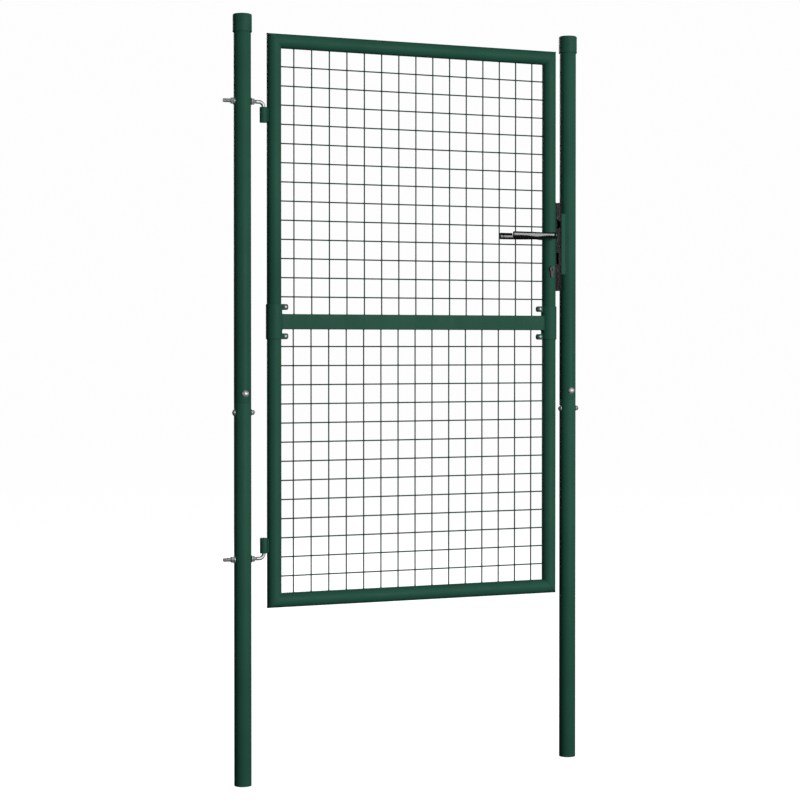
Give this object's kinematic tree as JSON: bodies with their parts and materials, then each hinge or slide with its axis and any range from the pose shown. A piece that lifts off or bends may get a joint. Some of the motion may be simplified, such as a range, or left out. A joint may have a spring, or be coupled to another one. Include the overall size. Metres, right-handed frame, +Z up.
{
  "type": "garden gate",
  "caption": "Single pedestrian garden gate: a tube-framed leaf with welded mesh panels and a lever lock, hung on bent hooks between two round posts.",
  "frame": {"origin": "centre of the foot of the hinge post (the left post seen from the front)", "axes": "+Z up, +X from the hinge post towards the latch post, -Y towards the front"},
  "size_m": [1.0406, 0.092, 2],
  "materials": {
    "green_coat": "moss green powder coat, semi-gloss, slight orange peel",
    "green_wire": "moss green coated wire, semi-gloss",
    "cap_plastic": "dark green moulded plastic, satin",
    "zinc": "zinc plated steel, dull silver",
    "black_zinc": "black passivated steel",
    "black_coat": "black powder coat, satin",
    "black_gloss": "black moulded handle with a metal core, glossy",
    "cylinder_metal": "blackened cylinder and plugs, satin",
    "bolt_metal": "sintered steel, machined faces",
    "spring_steel": "spring wire"
  },
  "bodies": {
    "posts": {"hinge_post_lower_tube": "green_coat", "hinge_post_upper_tube": "green_coat", "hinge_post_sleeve": "zinc", "hinge_post_cap": "cap_plastic", "latch_post_lower_tube": "green_coat", "latch_post_upper_tube": "green_coat", "latch_post_sleeve": "zinc", "latch_post_cap": "cap_plastic", "post_splice_bolts": "zinc", "post_splice_washers": "zinc", "post_splice_nuts": "zinc", "upper_hinge_hook": "zinc", "lower_hinge_hook": "zinc", "hinge_hook_nuts": "zinc", "strike_box": "green_coat", "strike_plate": "black_coat", "strike_screws": "black_zinc"},
    "gate_leaf": {"top_rail": "green_coat", "bottom_rail": "green_coat", "upper_hinge_stile": "green_coat", "lower_hinge_stile": "green_coat", "upper_latch_stile": "green_coat", "lower_latch_stile": "green_coat", "hinge_stile_spigot": "zinc", "latch_stile_spigot": "zinc", "upper_hinge_knuckle": "green_coat", "lower_hinge_knuckle": "green_coat", "mid_rail": "green_coat", "hinge_side_clamp": "green_coat", "latch_side_clamp": "green_coat", "clamp_bolts": "zinc", "clamp_washers": "zinc", "clamp_nuts": "zinc", "upper_mesh": "green_wire", "lower_mesh": "green_wire", "lock_case": "zinc", "lock_case_cover": "zinc", "lock_case_rivets": "zinc", "lock_forend": "black_coat", "lock_fixing_tabs": "zinc", "forend_screws": "black_zinc", "cylinder_body": "cylinder_metal", "cylinder_fixing_screw": "black_zinc", "latch_spring": "spring_steel"},
    "handle": {"front_lever": "black_gloss", "rear_lever": "black_gloss", "spindle": "zinc", "follower": "zinc", "lever_grub_screws": "black_zinc"},
    "latch": {"latch_bolt": "black_zinc"},
    "key_plug": {"front_cylinder_plug": "cylinder_metal", "rear_cylinder_plug": "cylinder_metal", "cylinder_cam": "bolt_metal"},
    "lock_bolt": {"dead_bolt": "bolt_metal"}
  },
  "joints": [
    {"name": "leaf_swing", "type": "hinge", "parent": "posts", "child": "gate_leaf", "pos_m": [0.058, 0, 0.6], "axis": [0, 0, 1], "range_deg": [-110, 110]},
    {"name": "handle_turn", "type": "hinge", "parent": "gate_leaf", "child": "handle", "pos_m": [0.896, 0, 1.445], "axis": [0, -1, 0], "range_deg": [0, 40], "stiffness_Nm_per_rad": 1.2, "springref_deg": -28.65},
    {"name": "latch_slide", "type": "slide", "parent": "gate_leaf", "child": "latch", "axis": [1, 0, 0], "range_m": [-0.0146, 0], "deforming": ["latch_spring"]},
    {"name": "key_turn", "type": "hinge", "parent": "gate_leaf", "child": "key_plug", "pos_m": [0.896, 0, 1.354], "axis": [0, 1, 0], "range_deg": [0, 360]},
    {"name": "dead_bolt_slide", "type": "slide", "parent": "gate_leaf", "child": "lock_bolt", "axis": [1, 0, 0], "range_m": [0, 0.016]}
  ],
  "couplings": [
    {"joint": "latch_slide", "follows": "handle_turn", "m_per_rad": -0.02077},
    {"joint": "key_turn", "follows": "dead_bolt_slide", "rad_per_m": 392.7}
  ]
}
